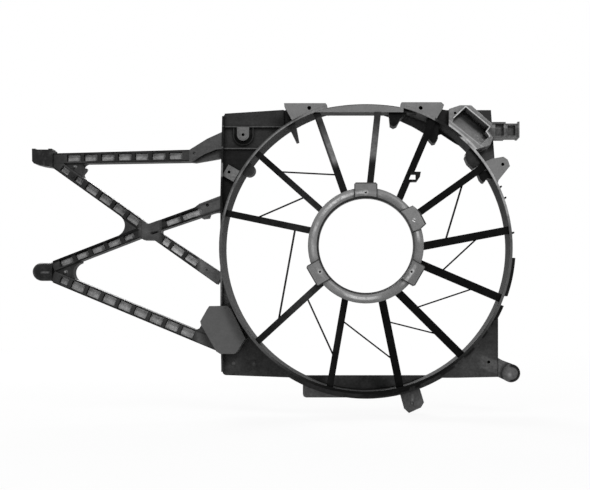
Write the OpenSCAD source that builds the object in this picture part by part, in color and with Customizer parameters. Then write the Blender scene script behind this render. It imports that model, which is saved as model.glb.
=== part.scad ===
// Radiator deflector: a bare fan shroud in moulded plastic, upright as it sits in the car.
// The engine side faces -Y, the radiator side is the plane Y = 0, +X is right and +Z is up.
// The origin is on the fan axis, in the radiator face. Every depth is a distance ahead of that face.

/* [Depths] */
// How far the panel's front stands ahead of the radiator face
plate_front = 14; // [12:0.5:16]
// How far the ring's front lip stands ahead of the radiator face
lip_front = 54; // [50:1:60]
// How far the motor ring's front stands ahead of the radiator face
motor_front = 89; // [84:1:96]
// How far the truss stands ahead of the radiator face
truss_front = 24; // [22:0.5:26]

/* [Walls] */
// Thickness of the panel, the tabs and most walls
wall = 2.5; // [2:0.1:3]
// Thickness of the fan ring's wall
ring_wall = 3; // [2.5:0.1:3.2]
// Thickness of the flanges along the truss beams
flange = 2; // [1.6:0.1:2.4]

/* [Fan ring] */
// Inner radius of the fan ring
ring_r = 185.5; // [184:0.5:186]
// Outer radius of the ring's front lip
lip_r = 189; // [189:0.1:189.4]
// Depth of the thicker lip at the ring's front
lip_depth = 4; // [3:0.5:6]
// Height of the flat under the crescent at the top of the ring
chord_z = 173.6; // [172:0.2:175]
// Radius of the ledge that closes the bottom of the ring
ledge_r = 198.8; // [197:0.2:200]

/* [Motor ring] */
// Radius of the hole for the fan motor
motor_bore_r = 59.2; // [58:0.1:60]
// Outer radius of the motor ring
motor_outer_r = 72.6; // [72:0.1:74]
// Depth of the motor ring at its edges, behind the domed front
motor_depth = 9; // [8:0.5:10]
// Diameter of the circle of the three motor screws
screw_pcd = 132; // [131:0.5:134]
// Diameter of each motor screw hole
screw_d = 3; // [2.5:0.1:4]

/* [Spokes] */
// Width of the narrowest spoke's front cap
spoke_w = 7.9; // [6.5:0.1:8]
// Thickness of the rib behind the cap
spoke_rib = 3; // [2.5:0.1:4]
// Side of a brace bar
brace_w = 1.8; // [1.3:0.1:2.2]

/* [Panel] */
// Left edge of the panel, from the fan axis
box_left = 192; // [191.5:0.5:193]
// Right edge of the panel, from the fan axis
box_right = 175.8; // [174.8:0.2:176]
// Top edge of the panel, from the fan axis
box_top = 185; // [184.6:0.2:186]
// Bottom edge of the panel, from the fan axis
box_bottom = 171; // [170.5:0.5:172]

/* [Truss] */
// Depth of the truss beams
truss_depth = 16; // [14:0.5:18]
// Width of the two diagonals
diagonal_w = 13; // [12.5:0.1:13.5]
// Width of the lower beam
lower_beam_w = 15; // [14.5:0.1:15.5]
// Distance from one ladder pocket to the next
pocket_pitch = 22.4; // [22:0.1:22.6]
// Length of a ladder pocket
pocket_len = 17.6; // [15:0.2:19]
// Radius of the locating peg at the lower end
peg_r = 12; // [11:0.1:12.2]

/* [Fixings] */
// Diameter of the holes in the two top tabs
tab_hole_d = 5; // [4:0.1:5.2]
// Diameter of the small fixing holes
small_hole_d = 4; // [3:0.1:4.4]

/* [Hidden] */

PANEL_DARK = [0.16, 0.16, 0.17];
PANEL_MID = [0.27, 0.27, 0.28];
FACE_LIGHT = [0.52, 0.52, 0.52];
TRUSS_MID = [0.3, 0.3, 0.3];
SPOKE_DARK = [0.1, 0.1, 0.11];

FAR = 450; // beyond every edge of the part
SEAM_TOP = 64; // half the length of the top closing panel
SEAM_BOTTOM = 100; // half the length of the bottom closing panel
CRESCENT = [-50, 48.4]; // left and right ends of the crescent that closes the top of the ring
lip_back = lip_front - lip_depth;
motor_edge = motor_front - 3; // front of the motor ring along its two edges
motor_back = motor_edge - motor_depth;
truss_back = truss_front - truss_depth;

// Points on an arc, from one angle to another
function arc(c, r, a0, a1, n = 6) =
    [for (i = [0:n]) let (a = a0 + (a1 - a0) * i / n) [c[0] + r * cos(a), c[1] + r * sin(a)]];
// An outline drawn towards a centre by a factor
function shrunk(pts, c, k) = [for (p = pts) c + (p - c) * k];
// A point at a radius and an angle about the fan axis
function polar(r, a) = [r * cos(a), r * sin(a)];
function mix(p, q, t) = p + (q - p) * t;
// The outline of a straight bar between two points, with a width at each
function bar_points(p, q, w0, w1) =
    let (d = (q - p) / norm(q - p), n = [-d[1], d[0]])
    [p + n * w0 / 2, q + n * w1 / 2, q - n * w1 / 2, p - n * w0 / 2];

// A slab of a flat outline in X and Z, from its front back by its thickness
module slab(front, thick) {
    translate([0, thick - front, 0]) rotate([90, 0, 0]) linear_extrude(thick) children();
}
// A shape of revolution about the fan axis; the profile's height is the distance ahead of the radiator face
module turned() {
    rotate([90, 0, 0]) rotate_extrude($fn = 180) children();
}
module disc(r) {
    circle(r = r, $fn = 180);
}
module window(x0, x1, z0, z1) {
    translate([x0, z0]) square([x1 - x0, z1 - z0]);
}
// Round holes along Y
module drill(p, d) {
    translate([p[0], 0, p[1]]) rotate([90, 0, 0]) cylinder(h = 2 * FAR, d = d, center = true, $fn = 32);
}
// A round hole that ends at a depth behind its mouth
module blind(p, d, front, depth) {
    slab(front + 1, depth + 1) translate(p) circle(d = d, $fn = 32);
}
// The space that the fan ring and its lip fill, which the parts outside it butt against
module ring_space() {
    turned() {
        translate([0, plate_front]) square([ring_r + ring_wall, FAR]);
        translate([0, lip_back]) square([lip_r, FAR]);
    }
}

// Panel: a shallow pan that seals against the radiator

BOTTOM_RISE = [3.6, 1.2]; // how far the bottom edge rises to its left and right corners
CORNER = 5; // radius of the two left corners
CORNER_Z = [BOTTOM_RISE[0] - box_bottom + CORNER, 175]; // heights of their centres
STRAIGHT = [-90, 72]; // stretch where the left edge is upright
LEAN = [1.3, 2.4]; // how far the edge leans in from there to the lower and the upper corner
function left_x(z) = (z > STRAIGHT[1] ? LEAN[1] * (z - STRAIGHT[1]) / (CORNER_Z[1] - STRAIGHT[1])
    : z < STRAIGHT[0] ? LEAN[0] * (STRAIGHT[0] - z) / (STRAIGHT[0] - CORNER_Z[0]) : 0) - box_left;
function pan_points(i) = concat(
    arc([CORNER + LEAN[0] - box_left, CORNER_Z[0]], CORNER - i, 180, 270),
    [[-88, i - box_bottom], [120, i - box_bottom], [box_right - i, BOTTOM_RISE[1] + i - box_bottom],
     [box_right - i, -70], [171 - i, 70], [171 - i, 121.5], [166.3 - i, box_top - i], [-105, box_top - i]],
    arc([CORNER + LEAN[1] - box_left, CORNER_Z[1]], CORNER - i, 95, 180),
    [[i - box_left, STRAIGHT[1]], [i - box_left, STRAIGHT[0]]]);
module pan_outline(i) {
    polygon(pan_points(i));
    intersection() {
        disc(190 - i);
        window(0, FAR, -120, 120);
    }
}
module plate_outline() {
    pan_outline(0);
    intersection() {
        disc(ledge_r);
        window(-FAR, FAR, -FAR, -160);
    }
}
// The duct's opening in the panel: flat at the top and bottom, with a shade at the upper right
module duct_opening() {
    difference() {
        intersection() {
            disc(ring_r);
            window(-FAR, FAR, wall + 1 - box_bottom, 178);
        }
        polygon([[15, 181], [25, 177.5], [45, 170.8], [62, 163], [76, 154.8], [84, 148], [100, 153],
                 [118, 141.2], [126, 137], [120, 170], [60, 200]]);
    }
}
module pan() {
    slab(plate_front, wall) difference() {
        plate_outline();
        duct_opening();
    }
    slab(plate_front - wall, plate_front - wall) difference() {
        pan_outline(0);
        pan_outline(wall);
    }
}
module pan_part(x0, x1, z0, z1) {
    intersection() {
        pan();
        slab(FAR, 2 * FAR) window(x0, x1, z0, z1);
    }
}
// The upright edge along the left side, which the truss arms join
module left_edge(heights) {
    slab(truss_front, truss_front - plate_front) polygon(concat(
        [for (z = heights) [left_x(z), z]],
        [for (i = [len(heights) - 1:-1:0]) [left_x(heights[i]) + wall, heights[i]]]));
}

CLIP_PAD = [-162.5, 151.2]; // centre of the round end of the clip pad
TILT_PAD = [-178.6, 100.4]; // centre of the tilted pad
TILT_HOLE = [-181.2, 102];
module clip_pad(r) {
    translate(CLIP_PAD) circle(r = r, $fn = 48);
    window(CLIP_PAD[0] - r, CLIP_PAD[0] + r, CLIP_PAD[1], 161.5);
}
module panel_top_left() {
    color(PANEL_DARK) difference() {
        union() {
            pan_part(-FAR, -SEAM_TOP, 0, FAR);
            left_edge([0, STRAIGHT[1], CORNER_Z[1]]);
            // raised strip along the top
            slab(plate_front + 4, 4) polygon([
                [left_x(161.5) + wall, 161.5], [-109, 161.5], [-109, box_top - 0.5],
                [left_x(CORNER_Z[1]) + wall, 179.5]
            ]);
            // rib across the middle
            slab(plate_front + 3, 3) window(wall - box_left, -120, 132.7, 134.3);
            // clip pad in its raised rim
            slab(plate_front + 6, 6) clip_pad(8);
            slab(plate_front + 3, 3) difference() {
                clip_pad(13.5);
                clip_pad(12.2);
            }
            // tilted pad
            slab(plate_front + 5, 5) intersection() {
                translate(TILT_PAD) rotate(-30) square([17, 16.5], center = true);
                window(wall - box_left, 0, 0, FAR);
            }
        }
        blind(CLIP_PAD, small_hole_d, plate_front + 6, 7);
        blind(TILT_HOLE, small_hole_d, plate_front + 5, 6);
        ring_space();
    }
}
module panel_bottom_left() {
    color(PANEL_MID) {
        pan_part(-FAR, -SEAM_BOTTOM, -FAR, 0);
        difference() {
            left_edge([CORNER_Z[0], STRAIGHT[0], 0]);
            slab(FAR, 2 * FAR) polygon(COVER);
        }
        for (p = [[-176, -151.8], [-149.3, -150.5]])
            slab(plate_front + 1.2, 1.2) translate(p) circle(d = 5, $fn = 32);
    }
}
module panel_top_right() {
    color(PANEL_DARK) pan_part(SEAM_TOP, FAR, 0, FAR);
}
ARM_HOLE = [163.3, -149.9];
module panel_bottom_right() {
    color(PANEL_MID) difference() {
        union() {
            pan_part(SEAM_BOTTOM, FAR, -FAR, 0);
            // boss behind the hole
            slab(plate_front - wall, 8) translate(ARM_HOLE) circle(r = 4, $fn = 48);
        }
        blind(ARM_HOLE, small_hole_d, plate_front, 9);
    }
}
module top_closing_panel() {
    color(PANEL_DARK) pan_part(-SEAM_TOP, SEAM_TOP, 0, FAR);
}
module bottom_closing_panel() {
    color(PANEL_MID) {
        pan_part(-SEAM_BOTTOM, SEAM_BOTTOM, -FAR, 0);
        // rim behind the ledge's edge
        slab(plate_front - wall, 6) difference() {
            intersection() {
                disc(ledge_r);
                window(-FAR, FAR, -FAR, -box_bottom);
            }
            disc(ledge_r - wall);
        }
    }
}

// Duct

module fan_ring() {
    color(PANEL_MID) difference() {
        turned() {
            translate([ring_r, plate_front]) square([ring_wall, lip_front - plate_front]);
            translate([ring_r, lip_back]) square([lip_r - ring_r, lip_depth]);
        }
        slab(FAR, 2 * FAR) window(CRESCENT[0], CRESCENT[1], 0, FAR);
    }
}

CROWN_R = 260; // radius of the crescent's upper edge
CROWN_Z = 184.6; // its highest point
CROWN_STEP = 1.3; // how far the face stops short of the wall along the crown
CHORD_DEPTH = 18; // depth of the wall under the crescent
CRESCENT_NOTCH = [[43.8, 177], [FAR, 177], [FAR, 200], [43.8, 200]];
module crown_disc(r) {
    translate([0, CROWN_Z - CROWN_R]) circle(r = r, $fn = 240);
}
module crescent_face() {
    intersection() {
        crown_disc(CROWN_R - CROWN_STEP);
        union() {
            intersection() {
                disc(ring_r);
                window(-FAR, FAR, chord_z, FAR);
            }
            intersection() {
                disc(lip_r);
                window(CRESCENT[0], CRESCENT[1], chord_z, FAR);
            }
        }
    }
}
module top_crescent() {
    color(FACE_LIGHT) difference() {
        union() {
            slab(lip_front, wall) difference() {
                crescent_face();
                polygon(TAB_RIGHT);
            }
            // wall along the flat
            slab(lip_front - wall, CHORD_DEPTH - wall) intersection() {
                disc(ring_r);
                window(-FAR, FAR, chord_z, chord_z + 2);
            }
            // wall along the crown, back to the panel
            slab(lip_front - wall, lip_front - wall - plate_front) intersection() {
                difference() {
                    crown_disc(CROWN_R);
                    crown_disc(CROWN_R - wall);
                }
                window(CRESCENT[0], CRESCENT[1], 0, FAR);
            }
        }
        slab(FAR, 2 * FAR) intersection() {
            polygon(CRESCENT_NOTCH);
            window(0, CRESCENT[1], 0, FAR);
        }
    }
}

// Lugs on the ring's inner wall
LUG_FRONT = 50;
LUG_DEPTH = 18;
module guard_lugs() {
    color(SPOKE_DARK) difference() {
        slab(LUG_FRONT, LUG_DEPTH) intersection() {
            disc(ring_r);
            window(-FAR, FAR, 0, chord_z);
            union() {
                translate([-152, 100.8]) circle(r = 8.3, $fn = 48);
                polygon([[-104, 158], [-92, 166], [-87, 138], [-90.5, 136.8], [-97.6, 151.7]]);
                polygon([[29, 180], [31, 158.5], [35.5, 156], [39.8, 158], [44, 166], [60, 180]]);
                polygon([[78, 180], [80.5, 141], [86, 134.5], [90, 135.5], [93, 140.5], [95, 170]]);
                polygon([[141, 134], [129.5, 123], [127.8, 117], [131.3, 109], [138.6, 102], [158, 115]]);
                polygon([[170, 100], [143.7, 98], [147.5, 88.3], [150.8, 84.6], [153.2, 84.4],
                         [156.3, 89.5], [178, 84.8]]);
            }
        }
        for (k = [9, 10]) spoke_bar(k);
    }
}

// Motor carrier

LUG_RISE = 1.5; // how far the lugs stand ahead of the motor ring
BORE_STEP = [1.6, 5]; // width and depth of the step round the front of the bore
STEP_R = motor_bore_r + BORE_STEP[0];
MOTOR_LUG = [29, 78.4]; // width and outer radius of a screw lug
SCREW_ANGLES = [90, 210, 330];
SCREW_DEPTH = 11.5; // depth of a screw hole behind the lug's face
// Outline of the connector lug, and of its face, which stops short of the outer side
CONNECTOR_LUG = [[42, 42.2], [58.8, 49.7], [62, 47.6], [68.2, 41.6], [75.7, 27.2], [67, 19.1],
                 [56.3, 15.9]];
CONNECTOR_FACE = [[42, 42.2], [58.8, 49.7], [61.2, 46.9], [66.4, 40.6], [73.4, 26.6], [66.5, 20],
                  [56.3, 15.9]];
FACE_DEPTH = 4;
module motor_profile() {
    half = (motor_outer_r - STEP_R) / 2;
    dome_r = (half * half + 9) / 6;
    sweep = asin(half / dome_r);
    polygon(concat(
        [[motor_bore_r, motor_back], [motor_outer_r, motor_back]],
        arc([STEP_R + half, motor_front - dome_r], dome_r, 90 - sweep, 90 + sweep, 8),
        [[STEP_R, motor_front - BORE_STEP[1]], [motor_bore_r, motor_front - BORE_STEP[1]]]));
}
module screw_holes() {
    for (a = SCREW_ANGLES) blind(polar(screw_pcd / 2, a), screw_d, motor_front + LUG_RISE, SCREW_DEPTH);
}
// Slot through the connector lug and the ring behind it
module connector_slot() {
    slab(FAR, 2 * FAR) translate([60, 30.8]) rotate(-34) {
        square([2.4, 2.2], center = true);
        for (side = [-1, 1]) translate([side * 1.2, 0]) circle(d = 2.2, $fn = 24);
    }
}
module motor_ring() {
    color(FACE_LIGHT) difference() {
        turned() motor_profile();
        screw_holes();
        connector_slot();
    }
}
module lug_outline(size, angle) {
    rotate(angle) polygon([
        [motor_bore_r, -size[0] / 2], [size[1] - 2, -size[0] / 2], [size[1], 2 - size[0] / 2],
        [size[1], size[0] / 2 - 2], [size[1] - 2, size[0] / 2], [motor_bore_r, size[0] / 2]
    ]);
}
module lug(size, angle) {
    slab(motor_front + LUG_RISE, motor_front + LUG_RISE - motor_back) difference() {
        lug_outline(size, angle);
        disc(STEP_R + 0.4);
    }
}
module motor_lugs() {
    color(FACE_LIGHT) difference() {
        for (a = SCREW_ANGLES) lug(MOTOR_LUG, a);
        turned() motor_profile();
        screw_holes();
    }
}
module connector_lug() {
    step = motor_front + LUG_RISE - FACE_DEPTH;
    color(FACE_LIGHT) difference() {
        union() {
            slab(motor_front + LUG_RISE, FACE_DEPTH) polygon(CONNECTOR_FACE);
            slab(step, step - motor_back) polygon(CONNECTOR_LUG);
        }
        slab(FAR, FAR) disc(STEP_R + 0.4);
        turned() motor_profile();
        connector_slot();
    }
}
// The space inside the spokes' inner ends
module motor_space() {
    turned() square([motor_outer_r, FAR]);
    slab(FAR, FAR) {
        for (a = SCREW_ANGLES) lug_outline(MOTOR_LUG, a);
        polygon(CONNECTOR_LUG);
    }
}

// Spokes, numbered clockwise from the one just below the right-hand horizontal.
// Each leaves the motor ring at its first angle and reaches the fan ring at its second,
// and is wider than the narrowest spoke by its third value.
SPOKES = [
    [-18.8, -20.7, 2.5], [-55.3, -48.5, 2.5], [-73.5, -76.3, 2], [-111.1, -104.5, 0.5],
    [-139.8, -139, 0.5], [164.8, 166.2, 0.5], [141.4, 139.1, 0], [112, 110.1, 1],
    [86.2, 84.9, 0.5], [54.5, 62.3, 1], [31.5, 34.5, 1], [-0.5, 6.9, 2]
];
SPOKE_OUTER = [52, 30]; // front and back of a spoke at the fan ring
SPOKE_INNER = [motor_edge - 1, motor_back + 0.5]; // front and back at the motor ring
CAP = 3; // thickness of the cap
OVERRUN = 10; // length that is trimmed off at each end
function spoke_start(k) = polar(motor_outer_r, SPOKES[k][0]);
function spoke_end(k) = polar(ring_r, SPOKES[k][1]);
function spoke_width(k) = spoke_w + SPOKES[k][2];
// Front or back of a spoke at a fraction of its length
function spoke_depth(side, t) = SPOKE_INNER[side] + (SPOKE_OUTER[side] - SPOKE_INNER[side]) * t;
module along_spoke(k) {
    p = spoke_start(k);
    d = spoke_end(k) - p;
    translate([p[0], 0, p[1]]) rotate([0, -atan2(d[1], d[0]), 0]) children();
}
module spoke_bar(k) {
    long = norm(spoke_end(k) - spoke_start(k));
    over = OVERRUN / long;
    x0 = -OVERRUN;
    x1 = long + OVERRUN;
    along_spoke(k) {
        linear_extrude(spoke_width(k), center = true) polygon([
            [x0, -spoke_depth(0, -over)], [x1, -spoke_depth(0, 1 + over)],
            [x1, CAP - spoke_depth(0, 1 + over)], [x0, CAP - spoke_depth(0, -over)]
        ]);
        linear_extrude(spoke_rib, center = true) polygon([
            [x0, 1 - spoke_depth(0, -over)], [x1, 1 - spoke_depth(0, 1 + over)],
            [x1, -spoke_depth(1, 1 + over)], [x0, -spoke_depth(1, -over)]
        ]);
    }
}
module spoke(k) {
    color(SPOKE_DARK) difference() {
        intersection() {
            spoke_bar(k);
            turned() square([ring_r, FAR]);
            slab(FAR, 2 * FAR) window(-FAR, FAR, -FAR, chord_z);
        }
        motor_space();
        if (k == LOOP_SPOKE) intersection() {
            slab(FAR, 2 * FAR) loop_hole();
            along_spoke(k) translate([-OVERRUN, -FAR, -30]) cube([FAR, FAR, 30 - spoke_rib / 2]);
        }
    }
}

// Braces: the outer spoke, the inner spoke, and how far along each the bar meets it
BRACES = [
    [10, 11, 0.69, 0.245], [11, 0, 0.66, 0.24], [0, 1, 0.685, 0.24], [1, 2, 0.67, 0.23], [2, 3, 0.69, 0.23],
    [3, 4, 0.67, 0.23], [4, 5, 0.67, 0.17], [5, 6, 0.655, 0.225], [6, 7, 0.665, 0.21]
];
BRACE_SINK = 1.6; // depth of a brace's middle behind the spoke's front
function brace_point(k, t) =
    let (p = mix(spoke_start(k), spoke_end(k), t)) [p[0], BRACE_SINK - spoke_depth(0, t), p[1]];
module brace(i) {
    b = BRACES[i];
    p = brace_point(b[0], b[2]);
    q = brace_point(b[1], b[3]);
    d = q - p;
    color(SPOKE_DARK) difference() {
        translate(p) rotate([0, -asin(d[2] / norm(d)), atan2(d[1], d[0])])
            translate([0, -brace_w / 2, -brace_w / 2]) cube([norm(d), brace_w, brace_w]);
        for (k = [b[0], b[1]]) along_spoke(k)
            translate([-OVERRUN, -FAR, -spoke_width(k) / 2]) cube([FAR, FAR, spoke_width(k)]);
    }
}

// Truss: four ladder beams that cross at a hub

END_X = -412; // right face of the end block
HUB = [-288, 25.3]; // where the two diagonals cross
HUB_LEFT = -297;
HUB_RIGHT = -269.5;
PANEL_X = -box_left;
POCKET_DEPTH = 6; // depth of a pocket in the front of a beam
TOP_OUT = [END_X, 119.1]; // ends of the top beam's middle line
TOP_IN = [-233, 123];
UPPER_OUT = [END_X, 114]; // outer end of the upper diagonal's middle line
UPPER_IN = [PANEL_X, -40.4]; // its end at the panel
LOWER_OUT = [END_X - 1, -23.2];
LOWER_IN = [PANEL_X, 58.8];
BEAM_OUT = [END_X - 1, -36.4];
BEAM_IN = [-190, -129.4];
TOP_BEAM = bar_points(TOP_OUT, TOP_IN, 13.4, 15.2);
UPPER_OUTER = bar_points(UPPER_OUT, HUB, diagonal_w, diagonal_w);
UPPER_INNER = bar_points(HUB, UPPER_IN, diagonal_w - 0.6, 16);
LOWER_OUTER = bar_points(LOWER_OUT, HUB, diagonal_w, diagonal_w);
LOWER_INNER = bar_points(HUB, LOWER_IN, diagonal_w, 15);
LOWER_BEAM = bar_points(BEAM_OUT, BEAM_IN, lower_beam_w, lower_beam_w);
// The lower beam's rise to the cover pad
FLARE = [[-224, -107.1], [-219.5, -104.8], [-215.6, -98], [-205, -98]];

// A row of pockets along a beam: where it starts, how many, and how wide
module pockets(p, q, start, count, w, len = pocket_len) {
    d = q - p;
    translate(p) rotate(atan2(d[1], d[0]))
        for (i = [0:count - 1]) translate([start + i * pocket_pitch, -w / 2]) square([len, w]);
}
// A truss member: the first child is its outline, the second the pockets in its front and back,
// with a web between them
module ladder() {
    difference() {
        slab(truss_front, truss_depth) children(0);
        slab(truss_front + 1, POCKET_DEPTH + 1) children(1);
        slab(truss_front - POCKET_DEPTH - wall, truss_depth) children(1);
    }
}
module between(x0, x1) {
    intersection() {
        window(x0, x1, -FAR, FAR);
        children();
    }
}
module top_beam() {
    color(TRUSS_MID) ladder() {
        between(END_X, TOP_IN[0]) polygon(TOP_BEAM);
        pockets(TOP_OUT, TOP_IN, 18, 7, 13 - 2 * flange);
    }
}
module top_beam_root() {
    face = [[-233, 130.4], [-209.4, 145.1], [left_x(153.9), 153.9], [left_x(131.3), 131.3], [-197, 131],
            [-212.9, 124.6], [-227, 116.4], [-233, 115.5]];
    foot = [[-233, 115.5], [-233, 125], [left_x(140), 140], [left_x(120.9), 120.9], [-226, 114.8]];
    color(TRUSS_MID) difference() {
        union() {
            slab(truss_front, truss_depth) polygon(face);
            slab(truss_front - 8, truss_depth - 8) polygon(foot);
        }
        slab(truss_front - wall, truss_depth)
            polygon([[-222, 126], [-206, 143], [-195, 149], [-195, 135], [-210, 129]]);
        drill([-226.4, 126], 3.6);
    }
}
module upper_diagonal_outer() {
    color(TRUSS_MID) {
        ladder() {
            difference() {
                between(END_X, HUB_LEFT) polygon(UPPER_OUTER);
                polygon(TOP_BEAM);
                hub_outline();
            }
            union() {
                pockets(UPPER_OUT, HUB, 53.2, 4, diagonal_w - 2 * flange);
                pockets(UPPER_OUT, HUB, 13, 1, diagonal_w - 3 * flange, 12);
                pockets(UPPER_OUT, HUB, 36, 1, diagonal_w - 3 * flange, 11);
            }
        }
        slab(truss_front, truss_depth) left_web();
        slab(truss_front + 1, 2) translate([-386.1, 95.2]) circle(d = 3.4, $fn = 24);
    }
}
module upper_diagonal_inner() {
    color(TRUSS_MID) difference() {
        ladder() {
            between(HUB_RIGHT, PANEL_X) polygon(UPPER_INNER);
            union() {
                pockets(HUB, UPPER_IN, 39.3, 2, diagonal_w - 2 * flange);
                pockets(HUB, UPPER_IN, 24.5, 1, diagonal_w - 2 * flange, 10.5);
            }
        }
        blind([-209.7, -28], 3, truss_front, 1.5);
        slab(truss_front - wall, truss_depth) pockets(HUB, UPPER_IN, 86, 1, 10, 24);
    }
}
module lower_diagonal_outer() {
    color(TRUSS_MID) ladder() {
        difference() {
            between(END_X - 1, HUB_LEFT) polygon(LOWER_OUTER);
            hub_outline();
        }
        union() {
            pockets(LOWER_OUT, HUB, 10.7, 4, diagonal_w - 2 * flange);
            pockets(LOWER_OUT, HUB, 101, 1, diagonal_w - 3 * flange, 14);
        }
    }
}
module lower_diagonal_inner() {
    color(TRUSS_MID) difference() {
        ladder() {
            between(HUB_RIGHT, PANEL_X) {
                polygon(LOWER_INNER);
                polygon([[-232, 38], [-232, 50], [-219.5, 59.5], [PANEL_X, 69.9], [PANEL_X, 48.6],
                         [-198, 48.4], [-206, 46.5], [-208, 41], [-216, 40], [-217.5, 42.6]]);
            }
            union() {
                pockets(HUB, LOWER_IN, 26, 1, diagonal_w - 2 * flange, 20);
                pockets(HUB, LOWER_IN, 48.6, 1, diagonal_w - 2 * flange, 27);
            }
        }
        blind([-208.9, 57.5], 4, truss_front, 4);
        slab(truss_front - POCKET_DEPTH, truss_depth)
            polygon([[-213, 53.5], [-207, 59], [-195, 64], [-195, 52], [-208, 50.5]]);
    }
}
module lower_beam() {
    color(TRUSS_MID) ladder() {
        difference() {
            between(END_X - 1, FAR)
                polygon(concat([LOWER_BEAM[0]], FLARE, [for (i = [1:3]) LOWER_BEAM[i]]));
            polygon(LOWER_OUTER);
            polygon(COVER);
        }
        union() {
            pockets(BEAM_OUT, BEAM_IN, 27, 8, lower_beam_w - 2 * flange);
            pockets(BEAM_OUT, BEAM_IN, 11, 1, lower_beam_w - 3 * flange, 11);
        }
    }
}
module hub_outline() {
    between(HUB_LEFT, HUB_RIGHT) {
        polygon(UPPER_OUTER);
        polygon(UPPER_INNER);
        polygon(LOWER_OUTER);
        polygon(LOWER_INNER);
        polygon([[HUB_LEFT, 14.5], [-293, 11.7], [-280, 11.6], [-276, 22], [HUB_LEFT, 22]]);
        difference() {
            polygon([[-278, 16], [HUB_RIGHT, 18], [HUB_RIGHT, 26.5], [-278, 32]]);
            translate([-266, 22.4]) circle(r = 4.2, $fn = 32);
        }
    }
    // where the two diagonals share their width
    intersection() {
        polygon(UPPER_OUTER);
        polygon(LOWER_OUTER);
    }
}
// Web in the left crotch, with a hollow edge
module left_web() {
    difference() {
        polygon([[-325, 50], [-298, 29], [-298, 25], [-325, 12]]);
        translate([-333, 31]) circle(r = 15, $fn = 64);
        polygon(UPPER_OUTER);
        polygon(LOWER_OUTER);
    }
}
module crossing_hub() {
    color(TRUSS_MID) difference() {
        union() {
            slab(truss_front, truss_depth) hub_outline();
            slab(truss_front + 1.2, 2) intersection() {
                hub_outline();
                window(-295, HUB_RIGHT - 2, 0, 60);
            }
        }
        // short slot beside the crossing
        slab(truss_front + 2, 3.4) translate([-278, 20.6]) rotate(18) square([7, 1.8], center = true);
        slab(truss_front - wall, truss_depth) translate([-283, 24]) circle(r = 8.5, $fn = 48);
    }
}
module upper_gusset() {
    color(TRUSS_MID) {
        slab(truss_front - 3, truss_depth - 3) difference() {
            polygon([[-404, 118], [-362, 118], [-370, 113.2], [-374.2, 110.6], [-370.6, 106.3],
                     [-371.8, 103.6], [-375.4, 99.2], [-374, 94.5], [-368, 89.8], [-371, 84]]);
            polygon(TOP_BEAM);
            polygon(UPPER_OUTER);
        }
        slab(truss_front - 1, 3) translate([-385.4, 108.6]) circle(d = 3.4, $fn = 24);
    }
}
module lower_gusset() {
    color(TRUSS_MID) {
        slab(truss_front - 3, truss_depth - 3) difference() {
            polygon([[END_X - 1, -42], [END_X - 1, -20], [-377, -5], [-377, -55]]);
            polygon(LOWER_OUTER);
            polygon(LOWER_BEAM);
            translate([-373.6, -31.3]) circle(r = 13.2, $fn = 64);
        }
        slab(truss_front - 1, 3) translate([-397.3, -30.9]) circle(d = 4, $fn = 24);
    }
}
module end_block() {
    color(TRUSS_MID) {
        slab(truss_front + 4, truss_depth + 4) polygon([
            [-439, 130.2], [END_X, 130.2], [END_X, 107], [-416, 107.8], [-428.5, 109.8],
            [-436.5, 112], [-438.8, 115]
        ]);
        slab(truss_front + 4, truss_depth) for (x = [-439, END_X - 5.5]) window(x, x + 4.5, 130, 131.4);
    }
}
module locating_peg() {
    color(TRUSS_MID) translate([END_X - 1, truss_depth / 2 - truss_front, -30.2]) rotate([0, -90, 0])
        rotate_extrude($fn = 72) polygon(concat(
            [[0, 0], [peg_r + 0.8, 0], [peg_r + 0.8, 3], [peg_r, 3.5]],
            arc([0, 16.5], peg_r, 0, 90, 10)));
}

// Cover pad over the lower beam's root
COVER = [
    [-204.6, -75.6], [-181, -75.2], [-175.7, -79.8], [-157.4, -117.9], [-167.9, -134.9], [-171.8, -138.2],
    [-190.2, -138.2], [-195.4, -134.9], [-215.1, -100.8], [-216.4, -95.6], [-207.2, -79.4]
];
COVER_MIDDLE = [-187, -106];
COVER_FRONT = 36;
module cover_pad() {
    color(PANEL_MID) difference() {
        slab(COVER_FRONT, COVER_FRONT - plate_front) polygon(COVER);
        slab(COVER_FRONT - wall, COVER_FRONT) polygon(shrunk(COVER, COVER_MIDDLE, 0.9));
    }
}

// Fixings round the edge

TAB_HOLE_Z = 179.2;
TAB_LEFT = [[-105.2, 185.4], [-51.8, 185.4], [-50, 183.2], [-50, 165], [-90, 150], [-94, 161.3],
            [-104.9, 181.2]];
TAB_RIGHT = [[46.2, 186.6], [97.2, 186.6], [100.6, 183.3], [99.3, 179.4], [88, 160], [80, 150],
             [48.4, 165], [48.4, 175.6], [43.8, 175.6], [43.8, 178], [44.6, 184.4]];
// The lines are the middles of the walls behind a tab's side edges
module tab(outline, hole_x, lines) {
    color(FACE_LIGHT) difference() {
        union() {
            slab(lip_front, wall) polygon(outline);
            // walls behind the tab's edges, back to the panel
            slab(lip_front - wall, lip_front - wall - plate_front) intersection() {
                polygon(outline);
                union() {
                    window(-FAR, FAR, box_top - wall, box_top);
                    for (line = lines) polygon(bar_points(line[0], line[1], wall, wall));
                }
            }
        }
        difference() {
            ring_space();
            slab(FAR, 2 * FAR) window(0, CRESCENT[1], 0, FAR);
        }
        drill([hole_x, TAB_HOLE_Z], tab_hole_d);
    }
}
module top_tab_left() {
    tab(TAB_LEFT, -72.9, [[[-105.9, 185.6], [-91.8, 159.9]]]);
}
module top_tab_right() {
    tab(TAB_RIGHT, 70.5, [[[102, 186], [86.5, 159]], [[45, 175.3], [46.2, 187]]]);
}
module link_block() {
    color(PANEL_DARK) difference() {
        slab(lip_front - 10, lip_front - 10 - plate_front)
            polygon([[99.3, 179.4], [107.1, 178.1], [105.5, 145], [79.3, 145]]);
        ring_space();
    }
}

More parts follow.
